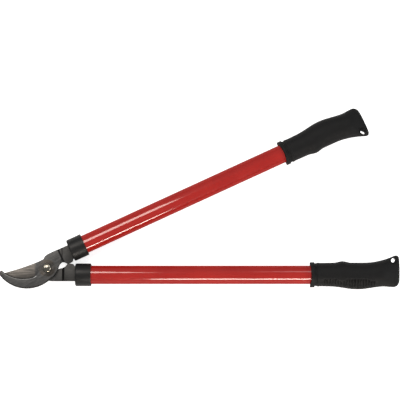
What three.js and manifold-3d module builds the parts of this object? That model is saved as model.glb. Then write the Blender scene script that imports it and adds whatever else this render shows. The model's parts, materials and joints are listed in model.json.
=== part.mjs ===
// Bypass loppers. Two forged jaws turn on one bolt. Each jaw ends in a flat tang that is pinned into a
// painted steel tube, under a moulded collar, and each tube carries a moulded grip with a hang hole.
// Millimetres, +Z up. The tool lies shut, with the hook on top of the cutting blade. The sizes are set out
// round the pivot, with +X along the lower handle, and the group is moved to its base's centre at the end.
import * as THREE from "three";
import { mergeVertices } from "three/addons/utils/BufferGeometryUtils.js";
import Module from "manifold-3d";

const wasm = await Module();
wasm.setup();

// ---------------------------------------------------------------- driving dimensions

// The two handles. u runs out along a handle from the pivot, v across it, positive towards the other handle.
const closedSpread = THREE.MathUtils.degToRad(24.85); // between the handles when the jaws are shut
const handleOffset = 10; // each tube's axis lies this far outside the pivot
const bareTube = 341.5; // painted tube between collar and grip
const fit = 0.3; // gap between pieces that are pushed together

// Tubes and what is held in them
const tubeRadius = 14.4;
const tubeWall = 1.2;
const socketWall = 2.3; // moulded wall left beside the tang
const socketLength = 38;
const pinRadius = 2.5;
const pinClearance = 0.15;

// Collars
const collarLength = 24.5;
const collarWall = 3;
const collarFrontWall = 3;
const collarNose = 2.2; // rounding of the front edge
const collarGap = 3.9; // least gap between the two collars when the jaws are shut

// Jaws and tangs
const bladeThickness = 4.5;
const hookThickness = 5.3;
const jawGap = 0.3; // between the rubbing faces
const tangThickness = 7;
const tangDepth = 50; // length inside the tube
const bladeStep = 27; // where the blade's neck steps up to its tang
const hookStep = 28; // where the hook's neck steps down to its tang
const stepRun = 4; // length of the sloping side of a step
const tangShow = 17; // bare tang between the blade's step and the collar
const stopGap = 0.3; // between the two stop lugs
const stopRise = 4.5; // from the blade's step to the start of the stop face
const stopFace = 2.5; // length of the stop face
const stopShoulder = 6.5; // from the stop face to the corner before the collar
const mouthHalf = 12.2; // inner half width of the tang at the collar's mouth

// Pivot: an M8 bolt with a domed head, a washer and a lock nut
const boltRadius = 4;
const pivotClearance = 0.1;
const headRadius = 6.8;
const headRim = 1.3;
const headHeight = 4.2;
const washerRadius = 8;
const washerThickness = 1.6;
const nutFlats = 13;
const nutHeight = 6.3;
const nutCrown = 1.9; // round collar that holds the nylon ring
const boltTail = 1.6; // thread showing past the nut

// Grips. s runs along a grip from its front edge.
const gripLength = 139.5;
const gripBoreDepth = 111;
const gripWall = 4.2; // over the tube on the edge that faces the other handle
const gripBackWall = 3.6; // over the tube on the opposite edge
const gripSideWall = 3.3; // over the tube on the two broad sides
const flangeWall = 5; // over the tube at the front flange
const flangeLength = 7;
const ringGrooveEnd = 11; // a shallow groove lies between the flange and here
const ringGroove = 0.7;
const fingerBump = 2.3;
const fingerBumpAt = 51;
const fingerBumpReach = 14;
const palmSwell = 4.4;
const palmSwellAt = 74;
const palmSwellReach = 43;
const heelSwell = 1;
const heelReach = 18;
const flareStart = 84;
const flareHeight = 11.6;
const flareCorner = 8; // rounding at the flared end
const heelCorner = 9; // rounding at the other end
const endHalfThickness = 11;
const taperStart = 108;
const hangHoleBack = 9.5; // from the end of the grip to the hole's centre
const hangHoleIn = 6.4; // from the flare's edge to the hole's centre
const hangHoleLength = 8.4;
const hangHoleWidth = 5.9;
const hangHoleTurn = THREE.MathUtils.degToRad(50);
const hangLandHalf = 8; // half thickness of the flat land round the hole
const hangLandRadius = 6.6;

// ---------------------------------------------------------------- sizes that follow

const bisector = closedSpread / 2;
const collarRadius = tubeRadius + fit + collarWall;
const collarInner = collarRadius - handleOffset;
const collarClear = (collarInner * Math.cos(bisector) + collarGap / 2) / Math.sin(bisector);
const collarStart = Math.max(bladeStep + tangShow, collarClear);
const collarEnd = collarStart + collarLength;
const tubeStart = collarStart + collarFrontWall + fit;
const gripStart = collarEnd + bareTube;
const tubeEnd = gripStart + gripBoreDepth - fit;
const tangEnd = tubeStart + tangDepth;
const socketRadius = tubeRadius - tubeWall - fit;
const slotHalfThickness = tangThickness / 2 + fit;
const tangHalfWidth = Math.sqrt(socketRadius ** 2 - slotHalfThickness ** 2) - socketWall - fit;
const tangBack = -handleOffset - tangHalfWidth; // v of the tang's outer edge
const tangWidestHalf = Math.max(mouthHalf, tangHalfWidth); // inner side, within the collar's wall
const pinAt = (tubeStart + collarEnd) / 2;
const bladeTop = -jawGap / 2;
const bladeBottom = bladeTop - bladeThickness;
const hookBottom = jawGap / 2;
const hookTop = hookBottom + hookThickness;

const around = 36; // sides of a round piece
const smallAround = 28; // sides of a small one

// ---------------------------------------------------------------- solids

// A closed geometry as a manifold-3d solid.
function toSolid(geometry) {
  const bare = geometry.clone();
  bare.deleteAttribute("normal");
  bare.deleteAttribute("uv");
  const merged = mergeVertices(bare, 1e-4);
  const triangles = [];
  for (let i = 0; i < merged.index.count; i += 3) {
    const corners = [0, 1, 2].map((k) => merged.index.getX(i + k));
    if (new Set(corners).size === 3) triangles.push(...corners);
  }
  const mesh = new wasm.Mesh({
    numProp: 3,
    vertProperties: merged.attributes.position.array,
    triVerts: new Uint32Array(triangles),
  });
  return new wasm.Manifold(mesh);
}

// A solid as a geometry with flat normals.
function toGeometry(solid) {
  const mesh = solid.getMesh();
  const geometry = new THREE.BufferGeometry();
  geometry.setAttribute("position", new THREE.BufferAttribute(mesh.vertProperties, 3));
  geometry.setIndex(new THREE.BufferAttribute(mesh.triVerts, 1));
  const flat = geometry.toNonIndexed();
  flat.computeVertexNormals();
  return flat;
}

// A closed skin over outlines that share one number of points. place puts a point of outline k in space.
function skin(outlines, place) {
  const count = outlines[0].length;
  const positions = outlines.flatMap((outline, k) => outline.flatMap((p) => place(p, k).toArray()));
  const index = [];
  for (let k = 0; k + 1 < outlines.length; k += 1) {
    for (let i = 0; i < count; i += 1) {
      const a = k * count + i;
      const b = k * count + ((i + 1) % count);
      index.push(a, b, b + count, a, b + count, a + count);
    }
  }
  const last = (outlines.length - 1) * count;
  for (const [a, b, c] of THREE.ShapeUtils.triangulateShape(outlines[0], [])) index.push(c, b, a);
  for (const [a, b, c] of THREE.ShapeUtils.triangulateShape(outlines.at(-1), [])) {
    index.push(last + a, last + b, last + c);
  }
  const geometry = new THREE.BufferGeometry();
  geometry.setAttribute("position", new THREE.Float32BufferAttribute(positions, 3));
  geometry.setIndex(index);
  return geometry;
}

// A plate with the outline outlineAt(inset), whose inset changes from one [height, inset] to the next.
function plate(outlineAt, levels) {
  const outlines = levels.map(([, inset]) => outlineAt(inset));
  return toSolid(skin(outlines, (p, k) => new THREE.Vector3(p.x, p.y, levels[k][0])));
}

// A shape pulled up along Z from low to high.
function pulled(shape, low, high) {
  const geometry = new THREE.ExtrudeGeometry(shape, { depth: high - low, bevelEnabled: false, curveSegments: 24 });
  return toSolid(geometry.translate(0, 0, low));
}

// A profile of [radius, height] turned about Z. It is closed, or starts and ends on the axis.
function turned(profile, sides = smallAround) {
  const geometry = new THREE.LatheGeometry(profile.map(([r, h]) => new THREE.Vector2(r, h)), sides);
  return toSolid(geometry.rotateX(Math.PI / 2));
}

// The same, turned about the X axis, with its heights along +X.
function turnedAlongX(profile, sides = around) {
  const geometry = new THREE.LatheGeometry(profile.map(([r, h]) => new THREE.Vector2(r, h)), sides);
  return toSolid(geometry.rotateZ(-Math.PI / 2));
}

function ring(inner, outer, low, high) {
  return [[inner, low], [outer, low], [outer, high], [inner, high], [inner, low]];
}

function rod(radius, low, high) {
  return [[0, low], [radius, low], [radius, high], [0, high]];
}

function arcPoints(centre, radius, from, to, steps) {
  const points = [];
  for (let i = 0; i <= steps; i += 1) {
    const angle = from + ((to - from) * i) / steps;
    points.push(new THREE.Vector2(centre.x + radius * Math.cos(angle), centre.y + radius * Math.sin(angle)));
  }
  return points;
}

function bendPoints(from, control, to, steps) {
  return new THREE.QuadraticBezierCurve(from, control, to).getPoints(steps);
}

const angleOf = (centre, point) => Math.atan2(point.y - centre.y, point.x - centre.x);
const at = (x, y) => new THREE.Vector2(x, y);
const pivot = at(0, 0);

// ---------------------------------------------------------------- handles' frames

// The upper handle is the lower one turned over, half a turn about the line midway between the two.
const turnOver = new THREE.Quaternion().setFromAxisAngle(
  new THREE.Vector3(Math.cos(bisector), Math.sin(bisector), 0),
  Math.PI,
);
const turnOverMatrix = new THREE.Matrix4().makeRotationFromQuaternion(turnOver);

// A point (u, v) of the upper handle as a point of the plan.
function onUpper(u, v) {
  const p = new THREE.Vector3(u, v, 0).applyMatrix4(turnOverMatrix);
  return at(p.x, p.y);
}

// ---------------------------------------------------------------- tangs

// Inner edge of a stop lug: it meets the other lug along the line midway between the handles.
const stopStart = bladeStep + stopRise;
const stopEnd = stopStart + stopFace;
const stopV = (u) => u * Math.tan(bisector) - stopGap / 2 / Math.cos(bisector);

function tangPlan() {
  const root = bladeStep - 3;
  const mouth = mouthHalf - handleOffset;
  const inner = tangHalfWidth - handleOffset;
  const nib = 3; // chamfer of the far end
  return new THREE.Shape([
    at(root, tangBack),
    at(tangEnd - nib, tangBack),
    at(tangEnd, tangBack + nib),
    at(tangEnd, inner - nib),
    at(tangEnd - nib, inner),
    at(collarStart + collarFrontWall, inner),
    at(collarStart, mouth),
    at(stopEnd + stopShoulder, stopV(stopEnd) - 0.6),
    at(stopEnd, stopV(stopEnd)),
    at(stopStart, stopV(stopStart)),
    at(bladeStep + 1, 2.4),
    at(root, 0.7),
  ]);
}

// The side view of a jaw and its tang, wide enough to cut the whole plan: the jaw's layer lies
// between low and high, and the tang is centred on the tube's axis.
function sideView(low, high, step, upright, tangAbove) {
  const reach = 200;
  const half = tangThickness / 2;
  const topFoot = tangAbove ? step - stepRun : upright;
  const bottomFoot = tangAbove ? upright : step - stepRun;
  const side = new THREE.Shape([
    at(-reach, low),
    at(bottomFoot, low),
    at(step, -half),
    at(reach, -half),
    at(reach, half),
    at(step, half),
    at(topFoot, high),
    at(-reach, high),
  ]);
  const geometry = new THREE.ExtrudeGeometry(side, { depth: 2 * reach, bevelEnabled: false });
  return toSolid(geometry.translate(0, 0, -reach).rotateX(Math.PI / 2));
}

function pinHole(radius) {
  const hole = turned(rod(radius, -2 * tubeRadius, 2 * tubeRadius));
  return hole.translate(pinAt, -handleOffset, 0);
}

const boltHole = turned(rod(boltRadius + pivotClearance, -20, 20));

// ---------------------------------------------------------------- cutting blade

const bladeBoss = 16;
const spineCentre = at(-168.5, 384.3); // the spine is slightly hollow
const spineRadius = 404.2;
const edgeCentre = at(-38, 40);
const edgeRadius = 61;
const edgeBevel = 6; // width of the ground bevel

function bladePlan(inset) {
  const spineStart = at(-8.6, 12.9);
  const tipTop = at(-69.3, -7.6);
  const tipLow = at(-67.6, -13.4);
  const heel = at(-14, -16);
  const cutting = arcPoints(
    edgeCentre,
    edgeRadius - inset,
    angleOf(edgeCentre, tipLow),
    angleOf(edgeCentre, heel),
    22,
  );
  return [
    ...cutting,
    at(heel.x + 3, heel.y + 1.2),
    at(heel.x + 6, heel.y - 1.6),
    at(0, tangBack + 1),
    at(6, tangBack),
    at(bladeStep, tangBack),
    at(bladeStep, 0),
    at(bladeStep - 3, 0.7),
    at(19.4, -0.3),
    ...arcPoints(pivot, bladeBoss, -0.05, angleOf(pivot, spineStart), 14),
    ...arcPoints(
      spineCentre,
      spineRadius,
      angleOf(spineCentre, spineStart),
      angleOf(spineCentre, tipTop),
      10,
    ).slice(1),
    at(-71.2, -8.6),
    at(-70.8, -11 + inset / 4),
  ];
}

function cuttingBlade() {
  const thick = plate(bladePlan, [
    [bladeBottom, edgeBevel],
    [bladeTop - 0.4, 0],
    [20, 0],
  ]);
  const tang = pulled(tangPlan(), -20, 20);
  const side = sideView(bladeBottom, bladeTop, bladeStep, bladeStep - 5, true);
  return thick
    .add(tang)
    .intersect(side)
    .subtract(boltHole)
    .subtract(pinHole(pinRadius + pinClearance));
}

// ---------------------------------------------------------------- hook

const hookBoss = 14.2;
const bellyCentre = at(-31.6, 22.3);
const bellyRadius = 53.9;
const rimCentre = at(-37.2, 36.1);
const rimRadius = 52;
const rimBevel = 1.5;

function hookPlan(inset) {
  const tipLow = at(-74, -11);
  const bellyEnd = at(7.8, -14.8);
  const heel = at(17.8, 1.5);
  const rimStart = at(-21.8, -13.6);
  const tipTop = at(-71.4, -3.4);
  const notch = onUpper(-0.3, -14.3);
  const bossEnd = THREE.MathUtils.degToRad(197);
  const bossFoot = at(hookBoss * Math.cos(bossEnd), hookBoss * Math.sin(bossEnd));
  const rimIn = arcPoints(
    rimCentre,
    rimRadius + inset,
    angleOf(rimCentre, rimStart),
    angleOf(rimCentre, tipTop),
    20,
  );
  return [
    ...arcPoints(
      bellyCentre,
      bellyRadius - inset,
      angleOf(bellyCentre, tipLow),
      angleOf(bellyCentre, bellyEnd),
      26,
    ),
    ...bendPoints(bellyEnd, at(14.7, -8.3), heel, 8).slice(1),
    ...bendPoints(heel, at(19.2, 6.4), onUpper(24.5, 1.4), 6).slice(1),
    onUpper(bladeStep + 2, 1.4),
    onUpper(hookStep + 1, tangBack),
    ...bendPoints(onUpper(12, tangBack), onUpper(4, tangBack), notch, 8),
    ...arcPoints(pivot, hookBoss, angleOf(pivot, notch), bossEnd, 12).slice(1),
    ...bendPoints(bossFoot, at(-14.2, -10.6), rimIn[0], 6).slice(1),
    ...rimIn.slice(1),
    at(-74.2 + inset / 2, -5.2 - inset / 2),
    at(-75.4 + inset, -8.4),
  ];
}

function hookJaw() {
  const thick = plate(hookPlan, [
    [-20, 0],
    [hookTop - rimBevel, 0],
    [hookTop, rimBevel],
  ]);
  const tang = pulled(tangPlan(), -20, 20).transform(turnOverMatrix.elements);
  const side = sideView(-hookTop, -hookBottom, hookStep, hookStep - 1, true)
    .transform(turnOverMatrix.elements);
  return thick
    .add(tang)
    .intersect(side)
    .subtract(boltHole)
    .subtract(pinHole(pinRadius + pinClearance).transform(turnOverMatrix.elements));
}

// ---------------------------------------------------------------- pivot

const headSeat = hookTop + 0.15;
const washerTop = bladeBottom - 0.15;
const nutTop = washerTop - washerThickness - 0.15;
const crownTop = nutTop - nutHeight;
const crownEnd = crownTop - nutCrown;
const boltEnd = crownEnd - boltTail;
const ringInner = boltRadius + pivotClearance;
const ringOuter = 5.3;

function pivotBolt() {
  const dome = [];
  const domeSteps = 8;
  for (let i = 1; i < domeSteps; i += 1) {
    const angle = (i / domeSteps) * (Math.PI / 2);
    dome.push([headRadius * Math.cos(angle), headSeat + headRim + (headHeight - headRim) * Math.sin(angle)]);
  }
  return turned([
    [0, boltEnd],
    [boltRadius - 0.8, boltEnd],
    [boltRadius, boltEnd + 0.8],
    [boltRadius, headSeat],
    [headRadius, headSeat],
    [headRadius, headSeat + headRim],
    ...dome,
    [0, headSeat + headHeight],
  ]);
}

function pivotNut() {
  const hexagon = turned(rod(nutFlats / 2 / Math.cos(Math.PI / 6), crownTop, nutTop), 6);
  const crown = turned([
    [0, crownEnd],
    [ringOuter + 0.4, crownEnd],
    [ringOuter + 0.9, crownEnd + 0.6],
    [ringOuter + 0.9, crownTop + 0.5],
    [0, crownTop + 0.5],
  ]);
  const recess = turned(rod(ringOuter + 0.1, crownEnd - 1, crownTop - 0.1));
  const bore = turned(rod(ringInner, boltEnd - 1, nutTop + 1));
  return hexagon.add(crown).subtract(recess).subtract(bore);
}

function nutNylonRing() {
  return turned(ring(ringInner + 0.05, ringOuter, crownEnd + 0.2, crownTop - 0.25));
}

function pivotWasher() {
  return turned(ring(boltRadius + 0.3, washerRadius, washerTop - washerThickness, washerTop));
}

// ---------------------------------------------------------------- pieces of one handle

function tube() {
  const shell = turnedAlongX(ring(tubeRadius - tubeWall, tubeRadius, tubeStart, tubeEnd));
  return shell.translate(0, -handleOffset, 0).subtract(pinHole(pinRadius + pinClearance));
}

function collar() {
  const bore = tubeRadius + fit;
  const nose = [];
  const noseSteps = 5;
  for (let i = 0; i <= noseSteps; i += 1) {
    const angle = (i / noseSteps) * (Math.PI / 2);
    nose.push([
      collarRadius - collarNose + collarNose * Math.sin(angle),
      collarStart + collarNose - collarNose * Math.cos(angle),
    ]);
  }
  const cup = turnedAlongX([
    [0, collarStart],
    ...nose,
    [collarRadius, collarEnd - 0.8],
    [collarRadius - 0.8, collarEnd],
    [bore, collarEnd],
    [bore, collarStart + collarFrontWall],
    [0, collarStart + collarFrontWall],
  ]);
  const mouth = new THREE.Shape([
    at(collarStart - 1, -tangHalfWidth - fit),
    at(tubeStart + 1, -tangHalfWidth - fit),
    at(tubeStart + 1, tangWidestHalf + fit),
    at(collarStart - 1, tangWidestHalf + fit),
  ]);
  return cup
    .subtract(pulled(mouth, -slotHalfThickness, slotHalfThickness))
    .translate(0, -handleOffset, 0);
}

function tangSocket() {
  const start = tubeStart + fit;
  const body = turnedAlongX(rod(socketRadius, start, start + socketLength));
  const slot = new THREE.Shape([
    at(start - 1, -tangHalfWidth - fit),
    at(start + socketLength + 1, -tangHalfWidth - fit),
    at(start + socketLength + 1, tangHalfWidth + fit),
    at(start - 1, tangHalfWidth + fit),
  ]);
  return body
    .subtract(pulled(slot, -slotHalfThickness, slotHalfThickness))
    .translate(0, -handleOffset, 0)
    .subtract(pinHole(pinRadius + pinClearance));
}

function crossPin() {
  const half = Math.sqrt(tubeRadius ** 2 - pinRadius ** 2);
  const nib = 0.5;
  return turned([
    [0, -half],
    [pinRadius - nib, -half],
    [pinRadius, -half + nib],
    [pinRadius, half - nib],
    [pinRadius - nib, half],
    [0, half],
  ]).translate(pinAt, -handleOffset, 0);
}

// ---------------------------------------------------------------- grip

// One smooth hump: 1 at its middle, 0 from its reach outwards.
const hump = (s, middle, reach) => Math.cos((Math.PI / 2) * Math.min(1, Math.abs(s - middle) / reach)) ** 2;
// How far a round corner of this radius falls away at s, near the end of the grip.
function cornerFall(s, radius) {
  const into = Math.max(0, s - (gripLength - radius));
  return radius - Math.sqrt(Math.max(0, radius ** 2 - into ** 2));
}

const gripBore = tubeRadius + fit;
// The front flange is round. Behind its groove the section grows into the grip's own shape.
const flangeShare = (s) => (s < flangeLength ? 1 : 0);
const ringCut = (s) => (s > flangeLength && s < ringGrooveEnd ? ringGroove : 0);
const wallAt = (s, wall) => gripBore + THREE.MathUtils.lerp(wall, flangeWall, flangeShare(s)) - ringCut(s);

// Half widths of the grip at s: towards the other handle, away from it, and up or down.
function gripInner(s) {
  const flare = flareHeight * (Math.max(0, s - flareStart) / (gripLength - flareCorner - flareStart)) ** 2;
  const bump = fingerBump * hump(s, fingerBumpAt, fingerBumpReach);
  return wallAt(s, gripWall) + bump + flare - cornerFall(s, flareCorner);
}

function gripOuter(s) {
  const palm = palmSwell * hump(s, palmSwellAt, palmSwellReach);
  const heel = heelSwell * hump(s, gripLength - heelCorner, heelReach);
  return wallAt(s, gripBackWall) + palm + heel - cornerFall(s, heelCorner);
}

function gripSide(s) {
  const taper = THREE.MathUtils.smoothstep(s, taperStart, gripLength);
  const full = wallAt(s, gripSideWall);
  return THREE.MathUtils.lerp(full, endHalfThickness, taper) - 0.6 * cornerFall(s, flareCorner);
}

function gripSection(s) {
  const inner = gripInner(s);
  const outer = gripOuter(s);
  const side = gripSide(s);
  const middle = (inner - outer) / 2;
  const half = (inner + outer) / 2;
  const sides = 28;
  const points = [];
  for (let i = 0; i < sides; i += 1) {
    const angle = (2 * Math.PI * i) / sides;
    const c = Math.cos(angle);
    const n = Math.sin(angle);
    const squareness = s < ringGrooveEnd ? 1 : 0.92;
    points.push(at(
      middle + half * Math.sign(c) * Math.abs(c) ** squareness,
      side * Math.sign(n) * Math.abs(n) ** squareness,
    ));
  }
  return points;
}

function gripStations() {
  const steep = 0.3; // length of the groove's steep sides
  const stations = [0, flangeLength - steep, flangeLength + steep, ringGrooveEnd - steep, ringGrooveEnd + steep];
  const cornerFrom = gripLength - heelCorner;
  const spacing = (cornerFrom - ringGrooveEnd) / 18;
  for (let i = 1; i < 18; i += 1) stations.push(ringGrooveEnd + i * spacing);
  const cornerSteps = 5;
  for (let i = 0; i <= cornerSteps; i += 1) {
    stations.push(cornerFrom + heelCorner * Math.sin((i / cornerSteps) * (Math.PI / 2)));
  }
  return stations;
}

const hangAt = at(gripLength - hangHoleBack, 0);
hangAt.y = gripInner(hangAt.x) - hangHoleIn;

function hangHole(length, width, low, high) {
  const radius = width / 2;
  const half = length / 2 - radius;
  const slot = new THREE.Shape();
  slot.absarc(half, 0, radius, -Math.PI / 2, Math.PI / 2);
  slot.absarc(-half, 0, radius, Math.PI / 2, (3 * Math.PI) / 2);
  return pulled(slot, low, high)
    .rotate([0, 0, THREE.MathUtils.radToDeg(hangHoleTurn)])
    .translate(hangAt.x, hangAt.y, 0);
}

function grip() {
  const stations = gripStations();
  const body = toSolid(skin(stations.map(gripSection), (p, k) => new THREE.Vector3(stations[k], p.x, p.y)));
  const bore = turnedAlongX(rod(gripBore, -5, gripBoreDepth));
  const tall = 2 * gripBore;
  const land = (low, high) => turned(rod(hangLandRadius, low, high), smallAround).translate(hangAt.x, hangAt.y, 0);
  return body
    .subtract(bore)
    .subtract(land(hangLandHalf, tall))
    .subtract(land(-tall, -hangLandHalf))
    .subtract(hangHole(hangHoleLength, hangHoleWidth, -tall, tall))
    .translate(gripStart, -handleOffset, 0);
}

// ---------------------------------------------------------------- materials

const materials = {
  paintedTube: new THREE.MeshStandardMaterial({ color: 0xb2282a, roughness: 0.22, metalness: 0.1 }),
  forgedSteel: new THREE.MeshStandardMaterial({ color: 0x504f4d, roughness: 0.5, metalness: 0.8 }),
  brightSteel: new THREE.MeshStandardMaterial({ color: 0xc8c2b0, roughness: 0.2, metalness: 1 }),
  blackPlastic: new THREE.MeshStandardMaterial({ color: 0x222324, roughness: 0.5, metalness: 0 }),
  softGrip: new THREE.MeshStandardMaterial({ color: 0x1c1c1c, roughness: 0.7, metalness: 0 }),
  nylon: new THREE.MeshStandardMaterial({ color: 0xd8dcd8, roughness: 0.5, metalness: 0 }),
};

function piece(name, solid, material) {
  const mesh = new THREE.Mesh(toGeometry(solid), material);
  mesh.name = name;
  return mesh;
}

// ---------------------------------------------------------------- assembly

function handle(side) {
  const group = new THREE.Group();
  group.add(piece(side + "_tube", tube(), materials.paintedTube));
  group.add(piece(side + "_collar", collar(), materials.blackPlastic));
  group.add(piece(side + "_grip", grip(), materials.softGrip));
  group.add(piece(side + "_tang_socket", tangSocket(), materials.blackPlastic));
  group.add(piece(side + "_cross_pin", crossPin(), materials.brightSteel));
  return group;
}

const tool = new THREE.Group();
const lowerHandle = handle("lower");
const upperHandle = handle("upper");
upperHandle.quaternion.copy(turnOver);
tool.add(
  lowerHandle,
  upperHandle,
  piece("cutting_blade", cuttingBlade(), materials.forgedSteel),
  piece("hook_jaw", hookJaw(), materials.forgedSteel),
  piece("pivot_bolt", pivotBolt(), materials.brightSteel),
  piece("pivot_washer", pivotWasher(), materials.brightSteel),
  piece("pivot_nut", pivotNut(), materials.brightSteel),
  piece("nut_nylon_ring", nutNylonRing(), materials.nylon),
);

// The origin is the middle of the tool's base.
const box = new THREE.Box3().setFromObject(tool, true);
const middle = box.getCenter(new THREE.Vector3());
tool.position.set(-middle.x, -middle.y, -box.min.z);

const loppers = new THREE.Group();
loppers.add(tool);

export default loppers;
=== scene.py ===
import json
import math

import bmesh
import bpy
from mathutils import Matrix, Vector

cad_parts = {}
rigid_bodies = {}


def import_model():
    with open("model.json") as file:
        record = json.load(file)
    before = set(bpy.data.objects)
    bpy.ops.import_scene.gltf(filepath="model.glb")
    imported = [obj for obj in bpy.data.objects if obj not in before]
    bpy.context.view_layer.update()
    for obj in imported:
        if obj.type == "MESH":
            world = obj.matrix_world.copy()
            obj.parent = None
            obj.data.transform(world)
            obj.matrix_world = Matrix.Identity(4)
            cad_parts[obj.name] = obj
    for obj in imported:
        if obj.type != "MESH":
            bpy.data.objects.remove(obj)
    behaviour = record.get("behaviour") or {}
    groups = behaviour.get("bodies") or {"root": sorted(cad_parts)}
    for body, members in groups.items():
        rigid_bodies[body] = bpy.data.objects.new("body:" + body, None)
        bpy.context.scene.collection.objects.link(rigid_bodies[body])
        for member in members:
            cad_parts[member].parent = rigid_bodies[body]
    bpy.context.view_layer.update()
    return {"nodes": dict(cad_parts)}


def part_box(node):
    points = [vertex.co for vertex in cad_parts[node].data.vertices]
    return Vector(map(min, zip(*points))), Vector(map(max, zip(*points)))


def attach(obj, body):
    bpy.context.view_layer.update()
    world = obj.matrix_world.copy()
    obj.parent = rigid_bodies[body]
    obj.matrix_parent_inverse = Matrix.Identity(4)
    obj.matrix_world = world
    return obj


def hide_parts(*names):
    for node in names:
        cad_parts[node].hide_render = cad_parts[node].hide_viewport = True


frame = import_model()

# ------------------------------------------------------------------ camera
# The loppers lie shut on a bench. They are looked at from above and a little from the lower handle's
# side, from far enough away that nothing leans outwards.
view_centre = Vector((0.00144, -0.00295, 0.0197))
view_width = 0.629
camera_height = 2.4
lean = math.radians(8)
camera_data = bpy.data.cameras.new("camera")
camera_data.sensor_width = 36
camera_data.lens = 36 * camera_height / view_width
camera_data.clip_end = 20
camera = bpy.data.objects.new("camera", camera_data)
camera.location = view_centre + camera_height * Vector((0, -math.sin(lean), math.cos(lean)))
camera.rotation_euler = (lean, 0, 0)
bpy.context.scene.collection.objects.link(camera)
bpy.context.scene.camera = camera

# ------------------------------------------------------------------ studio
# A plain pale table under a dim, even tent. A long strip stands at the near side and a broad panel at
# the far left; three high lamps keep the table white.
bpy.context.scene.view_settings.view_transform = "Standard"
world = bpy.data.worlds.new("tent")
bpy.context.scene.world = world
world.use_nodes = True
world.node_tree.nodes["Background"].inputs["Color"].default_value = (0.94, 0.97, 1.0, 1)
world.node_tree.nodes["Background"].inputs["Strength"].default_value = 0.3


def lamp(name, place, size, target, power, tint=(1, 1, 1)):
    """A soft rectangular lamp at place, facing target, its width kept level."""
    light = bpy.data.lights.new(name, "AREA")
    light.shape = "RECTANGLE"
    light.size, light.size_y = size
    light.energy = power
    light.color = tint
    holder = bpy.data.objects.new(name, light)
    holder.location = place
    holder.rotation_euler = (Vector(target) - Vector(place)).to_track_quat("-Z", "Y").to_euler()
    bpy.context.scene.collection.objects.link(holder)


lamp("near_strip", (0.24, -1.33, 0.7), (0.72, 0.155), (0.19, -0.1, 0), 12.8, (1, 0.92, 0.82))
lamp("far_panel", (-0.34, 0.322, 0.893), (0.34, 0.42), (-0.2, 0.1, 0), 3.9, (1, 0.92, 0.84))
lamp("table_left", (-1.5, 0.9, 1.9), (1.2, 1.2), (0, 0, 0), 14)
lamp("table_top", (0.9, 1.3, 1.9), (1.2, 1.2), (0, 0, 0), 10)
lamp("table_right", (1.5, -0.45, 1.1), (0.9, 0.9), (0, 0, 0), 9)

table_mesh = bpy.data.meshes.new("table")
table_mesh.from_pydata([(-6, -6, 0), (6, -6, 0), (6, 6, 0), (-6, 6, 0)], [], [(0, 1, 2, 3)])
table = bpy.data.objects.new("table", table_mesh)
bpy.context.scene.collection.objects.link(table)
table_paper = bpy.data.materials.new("table_paper")
table_paper.use_nodes = True
paper = table_paper.node_tree.nodes["Principled BSDF"]
paper.inputs["Base Color"].default_value = (0.9, 0.9, 0.9, 1)
paper.inputs["Roughness"].default_value = 0.9
paper.inputs["Specular IOR Level"].default_value = 0.1
paper.inputs["Emission Color"].default_value = (1, 1, 1, 1)
# The paper also glows a little, for the camera alone, which lifts the shadows out of the view.
seen = table_paper.node_tree.nodes.new("ShaderNodeLightPath")
lift = table_paper.node_tree.nodes.new("ShaderNodeMath")
lift.operation = "MULTIPLY"
lift.inputs[1].default_value = 0.75
table_paper.node_tree.links.new(seen.outputs["Is Camera Ray"], lift.inputs[0])
table_paper.node_tree.links.new(lift.outputs[0], paper.inputs["Emission Strength"])
table_mesh.materials.append(table_paper)

# ------------------------------------------------------------------ red tubes
# Two straight steel tubes, 28.8 mm across with a 1.2 mm wall, cut square and deburred. Each is powder
# coated red before assembly; a cross pin holds the tang at one end and a grip is pushed on the other.
MM = 0.001
bolt_low, bolt_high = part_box("pivot_bolt")
head_top = 9.8 * MM  # the bolt's head over the height of the tubes' axes
pivot = Vector(((bolt_low.x + bolt_high.x) / 2, (bolt_low.y + bolt_high.y) / 2, bolt_high.z - head_top))
half_spread = math.radians(12.425)
tube_drop = -10 * MM
tube_radius = 14.4 * MM
tube_bore = 13.2 * MM
tube_from, tube_to = 47.3 * MM, 520.7 * MM
pin_at = 57.9 * MM
# Local sizes run along a handle from the pivot. The upper handle is the lower one turned over.
place_lower = Matrix.Translation(pivot)
place_upper = place_lower @ Matrix.Rotation(
    math.pi, 4, Vector((math.cos(half_spread), math.sin(half_spread), 0))
)


def piece(name, mesh, material, body, slot, *stands_for):
    """A finished piece: smooth shaded, given its material, and riding on its handle."""
    bm = bmesh.new()
    bm.from_mesh(mesh)
    bmesh.ops.recalc_face_normals(bm, faces=bm.faces)
    bm.to_mesh(mesh)
    bm.free()
    made = bpy.data.objects.new(name, mesh)
    bpy.context.scene.collection.objects.link(made)
    mesh.materials.clear()
    mesh.materials.append(material)
    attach(made, body)
    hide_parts(*stands_for)
    return made


def smooth_by_angle(mesh, degrees):
    """Shades the mesh smooth, but keeps every edge sharper than this crisp."""
    mesh.polygons.foreach_set("use_smooth", [True] * len(mesh.polygons))
    mesh.set_sharp_from_angle(angle=math.radians(degrees))


def turned(profile, sides, closed=True):
    """A mesh of (along, radius) points turned about X. A closed profile joins its last point to its first."""
    mesh = bpy.data.meshes.new("turned")
    points, faces = [], []
    for along, radius in profile:
        for k in range(sides):
            a = 2 * math.pi * k / sides
            points.append((along, radius * math.cos(a), radius * math.sin(a)))
    rows = len(profile)
    for r in range(rows if closed else rows - 1):
        n = (r + 1) % rows
        for k in range(sides):
            m = (k + 1) % sides
            faces.append((r * sides + k, r * sides + m, n * sides + m, n * sides + k))
    if not closed:
        faces.append(tuple(range(sides)))
        faces.append(tuple(range((rows - 1) * sides, rows * sides)))
    mesh.from_pydata(points, [], faces)
    mesh.validate()
    return mesh


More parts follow.
